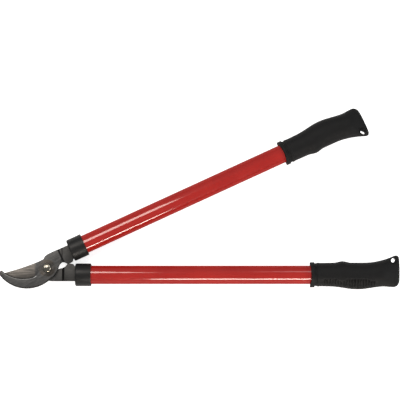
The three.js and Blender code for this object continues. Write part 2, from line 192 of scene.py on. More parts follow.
def rounded(corners, radius, steps=4):
    """A closed profile whose corners are rounded."""
    out = []
    count = len(corners)
    for i, corner in enumerate(corners):
        here = Vector(corner)
        back = Vector(corners[i - 1]) - here
        ahead = Vector(corners[(i + 1) % count]) - here
        r = min(radius, 0.45 * back.length, 0.45 * ahead.length)
        a, b = here + back.normalized() * r, here + ahead.normalized() * r
        for s in range(steps + 1):
            t = s / steps
            out.append(tuple(a * (1 - t) ** 2 + here * 2 * t * (1 - t) + b * t**2))
    return out


def bored(mesh, cutters):
    """The mesh with the cutters' volumes taken away."""
    host = bpy.data.objects.new("host", mesh)
    bpy.context.scene.collection.objects.link(host)
    for cutter in cutters:
        tool = bpy.data.objects.new("cutter", cutter)
        bpy.context.scene.collection.objects.link(tool)
        cut = host.modifiers.new("cut", "BOOLEAN")
        cut.operation = "DIFFERENCE"
        cut.solver = "EXACT"
        cut.object = tool
    bpy.context.view_layer.update()
    result = bpy.data.meshes.new_from_object(host.evaluated_get(bpy.context.evaluated_depsgraph_get()))
    for o in [o for o in bpy.data.objects if o.name.startswith(("host", "cutter"))]:
        bpy.data.objects.remove(o)
    return result


def upright_rod(radius, low, high, x, y, sides=48):
    """A rod along Z, to cut with."""
    rod = turned([(low, radius), (high, radius)], sides, closed=False)
    rod.transform(Matrix.Translation((x, y, 0)) @ Matrix.Rotation(-math.pi / 2, 4, "Y"))
    return rod


def new_material(name, slot_finish):
    """An empty node material with its Principled shader set to the fixed values of a finish."""
    material = bpy.data.materials.new(name)
    material.use_nodes = True
    shader = material.node_tree.nodes["Principled BSDF"]
    for socket, value in slot_finish.items():
        shader.inputs[socket].default_value = value
    return material, material.node_tree, shader


def node(tree, kind, inputs=None, **settings):
    """A node with its settings, its constants set and its links made."""
    made = tree.nodes.new(kind)
    for key, value in settings.items():
        setattr(made, key, value)
    for key, value in (inputs or {}).items():
        socket = made.inputs[key]
        if isinstance(value, bpy.types.NodeSocket):
            tree.links.new(value, socket)
        else:
            socket.default_value = value
    return made


def blended(tree, share, low, high, mode="MIX"):
    """A colour mix: low where share is 0, high where it is 1."""
    mix = node(tree, "ShaderNodeMix", data_type="RGBA", blend_type=mode)
    for socket, value in ((mix.inputs[0], share), (mix.inputs[6], low), (mix.inputs[7], high)):
        if isinstance(value, bpy.types.NodeSocket):
            tree.links.new(value, socket)
        else:
            socket.default_value = value
    return mix.outputs[2]


def ranged(tree, value, low, high, to_low, to_high):
    """Value mapped from low..high to to_low..to_high, smoothly."""
    return node(
        tree, "ShaderNodeMapRange",
        {"Value": value, "From Min": low, "From Max": high, "To Min": to_low, "To Max": to_high},
        interpolation_type="SMOOTHSTEP",
    ).outputs["Result"]


def maths(tree, operation, a, b=0.5):
    """One sum on two values."""
    made = node(tree, "ShaderNodeMath", operation=operation)
    for socket, value in ((made.inputs[0], a), (made.inputs[1], b)):
        if isinstance(value, bpy.types.NodeSocket):
            tree.links.new(value, socket)
        else:
            socket.default_value = value
    return made.outputs[0]


def shader_group(name, inputs, outputs):
    """A new node group with named sockets, and its two ends."""
    group = bpy.data.node_groups.new(name, "ShaderNodeTree")
    for label, kind, value in inputs:
        socket = group.interface.new_socket(label, in_out="INPUT", socket_type=kind)
        if value is not None:
            socket.default_value = value
    for label, kind in outputs:
        group.interface.new_socket(label, in_out="OUTPUT", socket_type=kind)
    return group, group.nodes.new("NodeGroupInput").outputs, group.nodes.new("NodeGroupOutput").inputs


# Fine, even surface grain: a height for a bump and a mask of small patches, used by every material.
grain, grain_in, grain_out = shader_group(
    "surface_grain",
    [
        ("Vector", "NodeSocketVector", None),
        ("Size", "NodeSocketFloat", 1500.0),
        ("Roughness", "NodeSocketFloat", 0.6),
    ],
    [("Height", "NodeSocketFloat"), ("Patches", "NodeSocketFloat")],
)
fine = node(
    grain,
    "ShaderNodeTexNoise",
    {
        "Vector": grain_in["Vector"],
        "Scale": grain_in["Size"],
        "Detail": 4.0,
        "Roughness": grain_in["Roughness"],
    },
)
broad = node(
    grain,
    "ShaderNodeTexNoise",
    {
        "Vector": grain_in["Vector"],
        "Scale": maths(grain, "MULTIPLY", grain_in["Size"], 0.04),
        "Detail": 5.0,
    },
)
grain.links.new(fine.outputs["Fac"], grain_out["Height"])
grain.links.new(ranged(grain, broad.outputs["Fac"], 0.35, 0.68, 0.0, 1.0), grain_out["Patches"])

# Dust and handling marks: a soft mask, thicker on faces that look up.
dust, dust_in, dust_out = shader_group(
    "dust_and_smudges",
    [
        ("Vector", "NodeSocketVector", None),
        ("Amount", "NodeSocketFloat", 0.5),
        ("Size", "NodeSocketFloat", 60.0),
    ],
    [("Dust", "NodeSocketFloat"), ("Smudge", "NodeSocketFloat")],
)
specks = node(
    dust,
    "ShaderNodeTexNoise",
    {
        "Vector": dust_in["Vector"],
        "Scale": maths(dust, "MULTIPLY", dust_in["Size"], 22.0),
        "Detail": 3.0,
        "Roughness": 0.7,
    },
)
clouds = node(
    dust,
    "ShaderNodeTexNoise",
    {
        "Vector": dust_in["Vector"],
        "Scale": dust_in["Size"],
        "Detail": 6.0,
        "Roughness": 0.62,
        "Distortion": 0.4,
    },
)
facing = node(
    dust,
    "ShaderNodeSeparateXYZ",
    {"Vector": node(dust, "ShaderNodeNewGeometry").outputs["Normal"]},
)
upward = ranged(dust, facing.outputs["Z"], 0.1, 0.95, 0.25, 1.0)
speckled = maths(
    dust,
    "MULTIPLY",
    ranged(dust, specks.outputs["Fac"], 0.56, 0.72, 0.0, 1.0),
    ranged(dust, clouds.outputs["Fac"], 0.4, 0.7, 0.1, 1.0),
)
dust.links.new(
    maths(dust, "MULTIPLY", maths(dust, "MULTIPLY", speckled, upward), dust_in["Amount"]),
    dust_out["Dust"],
)
dust.links.new(
    maths(dust, "MULTIPLY", ranged(dust, clouds.outputs["Fac"], 0.42, 0.66, 0.0, 1.0), dust_in["Amount"]),
    dust_out["Smudge"],
)


def red_paint(name, turn):
    """Glossy red powder coat: slight orange peel, a few smudges and a little dust."""
    material, tree, shader = new_material(name, {
        "Coat Roughness": 0.07, "Coat IOR": 1.58, "IOR": 1.4, "Specular IOR Level": 0.08,
    })
    place = node(tree, "ShaderNodeTexCoord").outputs["Object"]
    along = node(
        tree,
        "ShaderNodeMapping",
        {"Vector": place, "Location": tuple(-pivot), "Rotation": (0, 0, 0)},
    ).outputs["Vector"]
    along = node(
        tree,
        "ShaderNodeMapping",
        {"Vector": along, "Rotation": (0, 0, -turn), "Scale": (0.25, 1, 1)},
    ).outputs["Vector"]
    marks = node(tree, "ShaderNodeGroup", {}, node_tree=dust)
    tree.links.new(along, marks.inputs["Vector"])
    marks.inputs["Amount"].default_value = 0.6
    marks.inputs["Size"].default_value = 45
    peel = node(tree, "ShaderNodeGroup", {}, node_tree=grain)
    tree.links.new(place, peel.inputs["Vector"])
    peel.inputs["Size"].default_value = 700
    base = blended(tree, peel.outputs["Patches"], (0.335, 0.0105, 0.007, 1), (0.368, 0.0135, 0.009, 1))
    base = blended(tree, maths(tree, "MULTIPLY", marks.outputs["Dust"], 0.12), base, (0.55, 0.35, 0.3, 1))
    tree.links.new(base, shader.inputs["Base Color"])
    tree.links.new(
        ranged(tree, marks.outputs["Smudge"], 0.0, 0.6, 0.26, 0.36),
        shader.inputs["Roughness"],
    )
    bump = node(
        tree,
        "ShaderNodeBump",
        {"Height": peel.outputs["Height"], "Strength": 0.018, "Distance": 0.0004},
    )
    tree.links.new(bump.outputs["Normal"], shader.inputs["Normal"])
    # The gloss is full where the paint is looked at squarely and weaker at a slant.
    slant = node(tree, "ShaderNodeLayerWeight", {"Blend": 0.5}).outputs["Facing"]
    tree.links.new(ranged(tree, slant, 0.13, 0.5, 1.0, 0.05), shader.inputs["Coat Weight"])
    return material


def make_tube(name, place, turn, body):
    skin = rounded(
        [(tube_from, tube_bore), (tube_from, tube_radius), (tube_to, tube_radius), (tube_to, tube_bore)],
        0.4 * MM,
    )
    long_profile = []
    for (x0, r0), (x1, r1) in zip(skin, skin[1:] + skin[:1]):
        pieces = max(1, round(abs(x1 - x0) / (12 * MM)))
        long_profile += [
            (x0 + (x1 - x0) * i / pieces, r0 + (r1 - r0) * i / pieces) for i in range(pieces)
        ]
    mesh = turned(long_profile, 96)
    mesh.transform(Matrix.Translation((0, tube_drop, 0)))
    mesh = bored(mesh, [upright_rod(2.65 * MM, -20 * MM, 20 * MM, pin_at, tube_drop)])
    mesh.transform(place)
    smooth_by_angle(mesh, 35)
    return piece(
        name,
        mesh,
        red_paint(name + "_paint", turn),
        body,
        "red_paint",
        name.replace("painted", "").strip("_"),
    )


make_tube("painted_lower_tube", place_lower, 0, "lower_handle")
make_tube("painted_upper_tube", place_upper, 2 * half_spread, "upper_handle")

# ------------------------------------------------------------------ collars
# Black glass-filled nylon caps pressed over the front of each tube. Moulded in two halves' tool, with a
# rounded nose, a slot for the tang and a small bevel behind; the faint line is the tool's parting line.
collar_from, collar_to = 44 * MM, 68.5 * MM
collar_radius, collar_bore = 17.7 * MM, 14.7 * MM
collar_nose, collar_front_wall = 2.2 * MM, 3 * MM
slot_back, slot_inner, slot_half = -10.03 * MM, 12.5 * MM, 3.8 * MM


def moulded_black(name, tint, roughness, grain_size, bump_strength, dust_amount, grooved=False):
    """Black moulded plastic or rubber: etched grain, faint scuffs and dust; when grooved, painted shade in
    the grooves and a painted highlight on the lip.
    """
    material, tree, shader = new_material(name, {"IOR": 1.46, "Specular IOR Level": 0.22})
    place = node(tree, "ShaderNodeTexCoord").outputs["Object"]
    etched = node(tree, "ShaderNodeGroup", {}, node_tree=grain)
    tree.links.new(place, etched.inputs["Vector"])
    etched.inputs["Size"].default_value = grain_size
    marks = node(tree, "ShaderNodeGroup", {}, node_tree=dust)
    tree.links.new(place, marks.inputs["Vector"])
    marks.inputs["Amount"].default_value = dust_amount
    marks.inputs["Size"].default_value = 90
    darker = tuple(c * 0.86 for c in tint) + (1,)
    base = blended(tree, etched.outputs["Patches"], darker, tint + (1,))
    if grooved:
        # Painted shade darkens the rib grooves.
        groove = node(tree, "ShaderNodeAttribute", attribute_name="groove").outputs["Fac"]
        base = blended(tree, maths(tree, "MULTIPLY", groove, 0.85), base, (0.0012, 0.0012, 0.0012, 1))
        # A painted highlight lightens the lip round the panel.
        lip_highlight = node(tree, "ShaderNodeAttribute", attribute_name="lip").outputs["Fac"]
        base = blended(tree, maths(tree, "MULTIPLY", lip_highlight, 0.5), base, (0.024, 0.024, 0.024, 1))
    base = blended(
        tree,
        maths(tree, "MULTIPLY", marks.outputs["Dust"], 0.16),
        base,
        (0.1, 0.096, 0.09, 1),
    )
    tree.links.new(base, shader.inputs["Base Color"])
    tree.links.new(
        ranged(tree, marks.outputs["Smudge"], 0.0, 0.6, roughness, roughness - 0.08),
        shader.inputs["Roughness"],
    )
    bump = node(
        tree,
        "ShaderNodeBump",
        {"Height": etched.outputs["Height"], "Strength": bump_strength, "Distance": 0.0003},
    )
    tree.links.new(bump.outputs["Normal"], shader.inputs["Normal"])
    return material


collar_black = moulded_black("collar_black", (0.0135, 0.0134, 0.0135), 0.42, 2600.0, 0.14, 0.5)


def make_collar(name, place, body):
    """A cap turned from its profile, its front cut through for the tang, with a faint parting line."""
    nose = [
        (
            collar_from + collar_nose - collar_nose * math.cos(a),
            collar_radius - collar_nose + collar_nose * math.sin(a),
        )
        for a in [math.pi / 2 * i / 8 for i in range(9)]
    ]
    back = rounded(
        [
            (collar_to - 6 * MM, collar_radius),
            (collar_to, collar_radius),
            (collar_to, collar_bore),
            (collar_to - 6 * MM, collar_bore),
        ],
        0.9 * MM,
        5,
    )
    cap = nose + back[6:-6] + [(collar_from + collar_front_wall, collar_bore)]
    mesh = turned([(collar_from, 0.01 * MM)] + cap + [(collar_from + collar_front_wall, 0.01 * MM)], 96)
    mouth = bmesh.new()
    bmesh.ops.create_cube(mouth, size=1)
    bmesh.ops.scale(mouth, vec=(6 * MM, slot_inner - slot_back, 2 * slot_half), verts=mouth.verts)
    bmesh.ops.translate(
        mouth,
        vec=(collar_from + 1.5 * MM, (slot_inner + slot_back) / 2, 0),
        verts=mouth.verts,
    )
    bmesh.ops.bevel(mouth, geom=mouth.edges[:], offset=0.6 * MM, segments=3, affect="EDGES")
    opening = bpy.data.meshes.new("mouth")
    mouth.to_mesh(opening)
    mouth.free()
    mesh = bored(mesh, [opening])
    for v in mesh.vertices:
        radius = math.hypot(v.co.y, v.co.z)
        if radius > collar_radius - 0.2 * MM:
            share = max(0.0, 1 - abs(v.co.z) / (0.6 * MM))
            v.co.y *= 1 + 0.0035 * share
    mesh.transform(Matrix.Translation((0, tube_drop, 0)))
    mesh.transform(place)
    smooth_by_angle(mesh, 32)
    return piece(name, mesh, collar_black, body, "collar_plastic", name.replace("moulded_", ""))


make_collar("moulded_lower_collar", place_lower, "lower_handle")
make_collar("moulded_upper_collar", place_upper, "upper_handle")

# ------------------------------------------------------------------ grips
# Soft black rubber moulded over the tube's end: a round front flange, a palm swell, a finger bump, a
# ribbed panel along the back and a flared end with a hang hole.
grip_from = 410 * MM
grip_long = 139.5
grip_bore, grip_bore_long = 14.7, 111
inner_wall, outer_wall, side_wall, flange_wall = 4.2, 3.6, 3.3, 5
flange_end, ring_groove, ring_groove_end = 7.4, 0.8, 11.2
finger_bump, finger_at, finger_reach = 2.3, 51, 14
palm_swell, palm_at, palm_reach = 4.4, 74, 43
heel_swell, heel_reach, heel_corner = 1, 18, 9
flare_height, flare_from, flare_corner = 11.6, 84, 8
flare_end_gap = 6  # from the place where the flare reaches its height to the grip's end
end_half, taper_from = 11, 108
hang_back, hang_in, hang_radius, hang_reach = 9.5, 6.4, 2.95, 1.25
hang_turn = math.radians(50)


def hump(s, middle, reach):
    return math.cos(math.pi / 2 * min(1, abs(s - middle) / reach)) ** 2


def eased(s, low, high):
    t = min(1, max(0, (s - low) / (high - low)))
    return t * t * (3 - 2 * t)


def corner_fall(s, radius):
    into = max(0, s - (grip_long - radius))
    return radius - math.sqrt(max(0, radius**2 - into**2))


def wall(s, thick):
    flange = 1 - eased(s, flange_end - 1, flange_end)
    behind_flange = eased(s, flange_end - 1, flange_end)
    ring = ring_groove * behind_flange * (1 - eased(s, ring_groove_end - 1, ring_groove_end))
    groove = ring + 0.35 * eased(s, 14.4, 15.2) * (1 - eased(s, 15.2, 40))
    lip = 0.6 * (1 - math.sqrt(1 - (1 - min(1, s / 1.2)) ** 2))
    return grip_bore + thick + (flange_wall - thick) * flange - groove - lip


def grip_section(s, sides):
    """The outline s millimetres from the front edge, in millimetres across and up from the tube's axis."""
    flare = flare_height * (max(0, s - flare_from) / (grip_long - flare_end_gap - flare_from)) ** 2
    finger = finger_bump * hump(s, finger_at, finger_reach)
    inner = wall(s, inner_wall) + finger + flare - corner_fall(s, flare_corner)
    palm = palm_swell * hump(s, palm_at, palm_reach)
    heel = heel_swell * hump(s, grip_long - heel_corner, heel_reach)
    outer = wall(s, outer_wall) + palm + heel - corner_fall(s, heel_corner)
    taper = eased(s, taper_from, grip_long)
    side = wall(s, side_wall) * (1 - taper) + end_half * taper - 0.6 * corner_fall(s, flare_corner)
    square = 1 - 0.08 * eased(s, 10, 13)
    middle, half = (inner - outer) / 2, (inner + outer) / 2
    points = []
    for k in range(sides):
        a = 2 * math.pi * k / sides
        c, n = math.cos(a), math.sin(a)
        points.append((
            middle + half * math.copysign(abs(c) ** square, c),
            side * math.copysign(abs(n) ** square, n),
        ))
    return points


def grip_inner_edge(s):
    return max(p[0] for p in grip_section(s, 8))


def rib_tree():
    """Presses a row of ribs into the panel that the 'panel' attribute marks, and sets the material."""
    tree = bpy.data.node_groups.new("rib_panel", "GeometryNodeTree")
    sockets = {}
    for label, kind, value in (
        ("Geometry", "NodeSocketGeometry", None),
        ("Rib Pitch", "NodeSocketFloat", 0.004),
        ("Groove Depth", "NodeSocketFloat", 0.0008),
        ("Groove Share", "NodeSocketFloat", 0.5),
        ("Lip Height", "NodeSocketFloat", 0.0003),
        ("Waver", "NodeSocketFloat", 0.0001),
        ("Seed", "NodeSocketInt", 7),
        ("Material", "NodeSocketMaterial", None),
    ):
        socket = tree.interface.new_socket(label, in_out="INPUT", socket_type=kind)
        if value is not None:
            socket.default_value = value
        sockets[label] = socket.identifier
    tree.interface.new_socket("Geometry", in_out="OUTPUT", socket_type="NodeSocketGeometry")
    given = tree.nodes.new("NodeGroupInput").outputs
    result = tree.nodes.new("NodeGroupOutput").inputs
    along = node(
        tree,
        "GeometryNodeInputNamedAttribute",
        {"Name": "along"},
        data_type="FLOAT",
    ).outputs["Attribute"]
    panel = node(
        tree,
        "GeometryNodeInputNamedAttribute",
        {"Name": "panel"},
        data_type="FLOAT",
    ).outputs["Attribute"]
    seeded = node(
        tree,
        "ShaderNodeTexNoise",
        {"W": given["Seed"], "Scale": 220.0, "Detail": 2.0},
        noise_dimensions="4D",
    )
    waver = maths(tree, "MULTIPLY", maths(tree, "SUBTRACT", seeded.outputs["Fac"], 0.5), given["Waver"])
    phase = maths(tree, "DIVIDE", maths(tree, "ADD", along, waver), given["Rib Pitch"])
    wave = maths(tree, "COSINE", maths(tree, "MULTIPLY", phase, 2 * math.pi))
    depth = node(tree, "ShaderNodeMapRange", {
        "Value": wave, "From Min": maths(tree, "SUBTRACT", given["Groove Share"], 0.75),
        "From Max": maths(tree, "ADD", given["Groove Share"], 0.25), "To Min": 0.0, "To Max": 1.0,
    }, interpolation_type="SMOOTHSTEP").outputs["Result"]
    marked = node(tree, "GeometryNodeStoreNamedAttribute", {
        "Geometry": given["Geometry"], "Name": "groove", "Value": maths(tree, "MULTIPLY", depth, panel),
    }, data_type="FLOAT", domain="POINT")
    lip = node(
        tree,
        "GeometryNodeInputNamedAttribute",
        {"Name": "lip"},
        data_type="FLOAT",
    ).outputs["Attribute"]
    depth = maths(tree, "MULTIPLY", maths(tree, "MULTIPLY", depth, panel), given["Groove Depth"])
    depth = maths(tree, "SUBTRACT", depth, maths(tree, "MULTIPLY", lip, given["Lip Height"]))
    inwards = node(tree, "ShaderNodeVectorMath", operation="SCALE")
    tree.links.new(node(tree, "GeometryNodeInputNormal").outputs["Normal"], inwards.inputs["Vector"])
    tree.links.new(maths(tree, "MULTIPLY", depth, -1.0), inwards.inputs["Scale"])
    pressed = node(
        tree,
        "GeometryNodeSetPosition",
        {"Geometry": marked.outputs["Geometry"], "Offset": inwards.outputs["Vector"]},
    )
    real = node(tree, "GeometryNodeRealizeInstances", {"Geometry": pressed.outputs["Geometry"]})
    painted = node(
        tree,
        "GeometryNodeSetMaterial",
        {"Geometry": real.outputs["Geometry"], "Material": given["Material"]},
    )
    tree.links.new(painted.outputs["Geometry"], result["Geometry"])
    return tree, sockets


grip_black = moulded_black("grip_black", (0.0058, 0.0058, 0.0059), 0.6, 1900.0, 0.22, 0.42, grooved=True)
ribs, rib_sockets = rib_tree()


def make_grip(name, place, body):
    sides = 144
    stations = [0, 0.15, 0.4, 0.8, 1.2] + [2 + i for i in range(4)] + [6.2 + 0.2 * i for i in range(29)]
    stations += [12 + 0.5 * i for i in range(1, 186)]
    stations += [105.5 + i for i in range(25)]
    stations += [130.5 + 9 * math.sin(math.pi / 2 * i / 12) for i in range(1, 13)]
    points, faces, along, panel, lip = [], [], [], [], []
    for s in stations:
        for v, w in grip_section(s, sides):
            # The front lip is scooped on the two broad sides.
            scoop = 2.2 * (w / 19.7) ** 2 * max(0, 1 - s / 6)
            points.append(Vector(((s + scoop) * MM, v * MM, w * MM)))
            along.append(s * MM)
            # The panel's inner border swings in two long lobes that meet in a dip.
            border = -(8.2 + 3.2 * hump(s, 49, 9) + 2.5 * (1 - eased(s, 15, 22)) + 3 * eased(s, 84, 100))
            inside = 1 - eased(v, border - 0.7, border + 0.4)
            inside *= eased(w, -0.5, 2.5)
            panel.append(inside * eased(s, 17.2, 18.6) * (1 - eased(s, 99, 101)))
            # A low lip borders it.
            lip.append(
                max(
                    0,
                    1 - abs(v - border - 0.7) / 1.1,
                ) * eased(s, 16, 18) * (1 - eased(s, 99, 103)) * eased(w, 0, 3)
            )
    rows = len(stations)
    for r in range(rows - 1):
        for k in range(sides):
            m = (k + 1) % sides
            faces.append((r * sides + k, r * sides + m, (r + 1) * sides + m, (r + 1) * sides + k))
    # The flared end closes in rings towards its middle, and the front runs in to the bore.
    last = (rows - 1) * sides
    middle = sum((points[last + k] for k in range(sides)), Vector()) / sides
    ring = last
    for share in (0.96, 0.88, 0.7, 0.45, 0.2):
        start = len(points)
        for k in range(sides):
            p = middle + (points[last + k] - middle) * share
            p.x += 0.35 * MM * (1 - share) ** 0.5
            points.append(p)
            along.append(grip_long * MM)
            panel.append(0)
            lip.append(0)
        for k in range(sides):
            m = (k + 1) % sides
            faces.append((ring + k, ring + m, start + m, start + k))
        ring = start
    points.append(middle + Vector((0.35 * MM, 0, 0)))
    along.append(grip_long * MM)
    panel.append(0)
    lip.append(0)
    faces += [(ring + k, ring + (k + 1) % sides, len(points) - 1) for k in range(sides)]
    faces.append(tuple(range(sides - 1, -1, -1)))
    mesh = bpy.data.meshes.new(name)
    mesh.from_pydata(points, [], faces)
    mesh.attributes.new("along", "FLOAT", "POINT").data.foreach_set("value", along)
    mesh.attributes.new("panel", "FLOAT", "POINT").data.foreach_set("value", panel)
    mesh.attributes.new("lip", "FLOAT", "POINT").data.foreach_set("value", lip)
    mesh.polygons.foreach_set("use_smooth", [True] * len(mesh.polygons))
    bm = bmesh.new()
    bm.from_mesh(mesh)
    bmesh.ops.recalc_face_normals(bm, faces=bm.faces)
    bm.to_mesh(mesh)
    bm.free()
    blank = bpy.data.objects.new("blank", mesh)
    bpy.context.scene.collection.objects.link(blank)
    press = blank.modifiers.new("rib_panel", "NODES")
    press.node_group = ribs
    press[rib_sockets["Rib Pitch"]] = 4.3 * MM
    press[rib_sockets["Groove Depth"]] = 1.3 * MM
    press[rib_sockets["Groove Share"]] = 0.5
    press[rib_sockets["Lip Height"]] = 0.45 * MM
    press[rib_sockets["Waver"]] = 0.15 * MM
    press[rib_sockets["Seed"]] = 7
    press[rib_sockets["Material"]] = grip_black
    bpy.context.view_layer.update()
    pressed = bpy.data.meshes.new_from_object(blank.evaluated_get(bpy.context.evaluated_depsgraph_get()))
    bpy.data.objects.remove(blank)

    # The bore for the tube, the flat lands round the hang hole and the hole itself, with a rounded mouth.
    bore = turned([(-5 * MM, grip_bore * MM), (grip_bore_long * MM, grip_bore * MM)], 96, closed=False)
    hang_s = (grip_long - hang_back) * MM
    hang_v = (grip_inner_edge(grip_long - hang_back) - hang_in) * MM
    lands = []
    for sign in (1, -1):
        dish = turned([(8 * MM, 6.2 * MM), (8.5 * MM, 6.6 * MM), (25 * MM, 7.4 * MM)], 64, closed=False)
        dish.transform(
            Matrix.Translation((hang_s, hang_v, 0)) @ Matrix.Rotation(-sign * math.pi / 2, 4, "Y")
        )
        lands.append(dish)
    slot = bmesh.new()
    rings = []
    for w, grow in (
        (-25, 0.6),
        (-8.2, 0.6),
        (-7.8, 0.22),
        (-7.3, 0),
        (7.3, 0),
        (7.8, 0.22),
        (8.2, 0.6),
        (25, 0.6),
    ):
        radius = hang_radius + grow
        ring_points = []
        for k in range(40):
            a = 2 * math.pi * (k + 0.5) / 40
            x = radius * math.cos(a) + math.copysign(hang_reach, math.cos(a))
            ring_points.append(slot.verts.new(Vector((x, radius * math.sin(a), w)) * MM))
        rings.append(ring_points)
    for low, high in zip(rings, rings[1:]):
        for k in range(40):
            m = (k + 1) % 40
            slot.faces.new((low[k], low[m], high[m], high[k]))
    slot.faces.new(rings[0][::-1])
    slot.faces.new(rings[-1])
    hole = bpy.data.meshes.new("hole")
    slot.to_mesh(hole)
    slot.free()
    hole.transform(Matrix.Translation((hang_s, hang_v, 0)) @ Matrix.Rotation(hang_turn, 4, "Z"))
    mesh = bored(pressed, [bore] + lands + [hole])
    mesh.transform(Matrix.Translation((grip_from, tube_drop, 0)))
    mesh.transform(place)
    smooth_by_angle(mesh, 40)
    return piece(name, mesh, grip_black, body, "grip_plastic", name.replace("moulded_", ""))


make_grip("moulded_lower_grip", place_lower, "lower_handle")
make_grip("moulded_upper_grip", place_upper, "upper_handle")

# ------------------------------------------------------------------ cutting blade and hook
# Two drop-forged carbon steel jaws. Each is forged with its step and tang, then ground: the blade's flat
# and bevel, the hook's rim and the round seats at the pivot. The tangs keep the dark forged skin.
# A ring drawn round a centre on the plan: a band along it, and everything inside it.
band, band_in, band_out = shader_group(
    "round_band",
    [
        (
            "Vector",
            "NodeSocketVector",
            None,
        ), ("Centre X", "NodeSocketFloat", 0.0), ("Centre Y", "NodeSocketFloat", 0.0),
        ("Radius", "NodeSocketFloat", 10.0), ("Width", "NodeSocketFloat", 1.0), (
            "Softness",
            "NodeSocketFloat",
            0.4,
        ),
    ],
    [("Band", "NodeSocketFloat"), ("Inside", "NodeSocketFloat"), ("Distance", "NodeSocketFloat")],
)
apart = node(band, "ShaderNodeSeparateXYZ", {"Vector": band_in["Vector"]})
flat_place = node(band, "ShaderNodeCombineXYZ", {
    "X": maths(band, "SUBTRACT", apart.outputs["X"], band_in["Centre X"]),
    "Y": maths(band, "SUBTRACT", apart.outputs["Y"], band_in["Centre Y"]),
})
distance = node(
    band,
    "ShaderNodeVectorMath",
    {0: flat_place.outputs["Vector"]},
    operation="LENGTH",
).outputs["Value"]
off_ring = maths(band, "ABSOLUTE", maths(band, "SUBTRACT", distance, band_in["Radius"]))
beyond = maths(band, "SUBTRACT", off_ring, maths(band, "MULTIPLY", band_in["Width"], 0.5))
soft_band = maths(band, "SUBTRACT", 0.5, maths(band, "DIVIDE", beyond, band_in["Softness"]))
soft_inside = maths(
    band,
    "SUBTRACT",
    0.5,
    maths(band, "DIVIDE", maths(band, "SUBTRACT", distance, band_in["Radius"]), band_in["Softness"]),
)
band.links.new(node(band, "ShaderNodeClamp", {"Value": soft_band}).outputs["Result"], band_out["Band"])
band.links.new(
    node(band, "ShaderNodeClamp", {"Value": soft_inside}).outputs["Result"],
    band_out["Inside"],
)
band.links.new(distance, band_out["Distance"])


def ring_mask(tree, vector, centre, radius, width, softness=0.4):
    placed = node(tree, "ShaderNodeGroup", {}, node_tree=band)
    tree.links.new(vector, placed.inputs["Vector"])
    for label, value in (
        ("Centre X", centre[0]),
        ("Centre Y", centre[1]),
        ("Radius", radius),
        ("Width", width),
        ("Softness", softness),
    ):
        placed.inputs[label].default_value = value
    return placed.outputs


def shade(value, warm=0.0):
    """A grey of this value, a little warmer where asked."""
    return (value * (1 + warm), value, value * (1 - warm), 1)


def steel(name, handle_turn, step_at, dark_from, paint_ground):
    """Forged steel in millimetres round the pivot. paint_ground lays on what is ground after forging."""
    material, tree, shader = new_material(name, {"IOR": 1.5, "Specular IOR Level": 0.3})
    place = node(tree, "ShaderNodeTexCoord").outputs["Object"]
    local = node(
        tree,
        "ShaderNodeMapping",
        {"Vector": place, "Location": tuple(-1000 * pivot), "Scale": (1000, 1000, 1000)},
    ).outputs["Vector"]
    along = node(
        tree,
        "ShaderNodeMapping",
        {"Vector": local, "Rotation": (0, 0, -handle_turn)},
    ).outputs["Vector"]
    u = node(tree, "ShaderNodeSeparateXYZ", {"Vector": along}).outputs["X"]
    scale = node(tree, "ShaderNodeGroup", {}, node_tree=grain)
    tree.links.new(place, scale.inputs["Vector"])
    scale.inputs["Size"].default_value = 1100
    normal_z = node(
        tree,
        "ShaderNodeSeparateXYZ",
        {"Vector": node(tree, "ShaderNodeNewGeometry").outputs["Normal"]},
    ).outputs["Z"]
    flat = ranged(tree, maths(tree, "ABSOLUTE", normal_z), 0.86, 0.985, 0.0, 1.0)
    brushed = node(tree, "ShaderNodeTexNoise", {
        "Vector": node(
            tree,
            "ShaderNodeMapping",
            {"Vector": along, "Scale": (0.07, 0.75, 0.07)},
        ).outputs["Vector"],
        "Scale": 1.0, "Detail": 4.0, "Roughness": 0.65,
    }).outputs["Fac"]
    skin = blended(tree, scale.outputs["Patches"], shade(0.052), shade(0.074, 0.01))
    skin = blended(tree, ranged(tree, brushed, 0.4, 0.7, 0.0, 0.7), skin, shade(0.105, 0.01))
    tang = ranged(tree, u, dark_from - 0.6, dark_from + 0.4, 0.0, 1.0)
    skin = blended(
        tree,
        tang,
        skin,
        blended(tree, scale.outputs["Patches"], shade(0.045, 0.02), shade(0.062, 0.02)),
    )
    skin, bright = paint_ground(tree, local, skin, flat)
    # Painted shade darkens the corner of the step.
    corner = maths(
        tree,
        "MULTIPLY",
        ranged(
            tree,
            maths(tree, "ABSOLUTE", maths(tree, "SUBTRACT", u, step_at - 0.4)),
            1.0,
            2.0,
            1.0,
            0.0,
        ),
        0.85,
    )
    skin = blended(tree, corner, skin, shade(0.012))
    # Painted shade darkens every edge and side face that leans away from the top.
    skin = blended(
        tree,
        maths(tree, "MULTIPLY", maths(tree, "SUBTRACT", 1.0, flat), 0.9),
        skin,
        shade(0.012),
    )
    tree.links.new(skin, shader.inputs["Base Color"])
    tree.links.new(ranged(tree, bright, 0.0, 1.0, 0.7, 1.0), shader.inputs["Metallic"])
    rough = maths(
        tree,
        "SUBTRACT",
        ranged(tree, scale.outputs["Height"], 0.3, 0.7, 0.44, 0.6),
        maths(tree, "MULTIPLY", bright, 0.1),
    )
    tree.links.new(rough, shader.inputs["Roughness"])
    pitted = maths(tree, "ADD", scale.outputs["Height"], maths(tree, "MULTIPLY", brushed, 0.5))
    bump = node(tree, "ShaderNodeBump", {"Height": pitted, "Strength": 0.3, "Distance": 0.0003})
    tree.links.new(bump.outputs["Normal"], shader.inputs["Normal"])
    return material


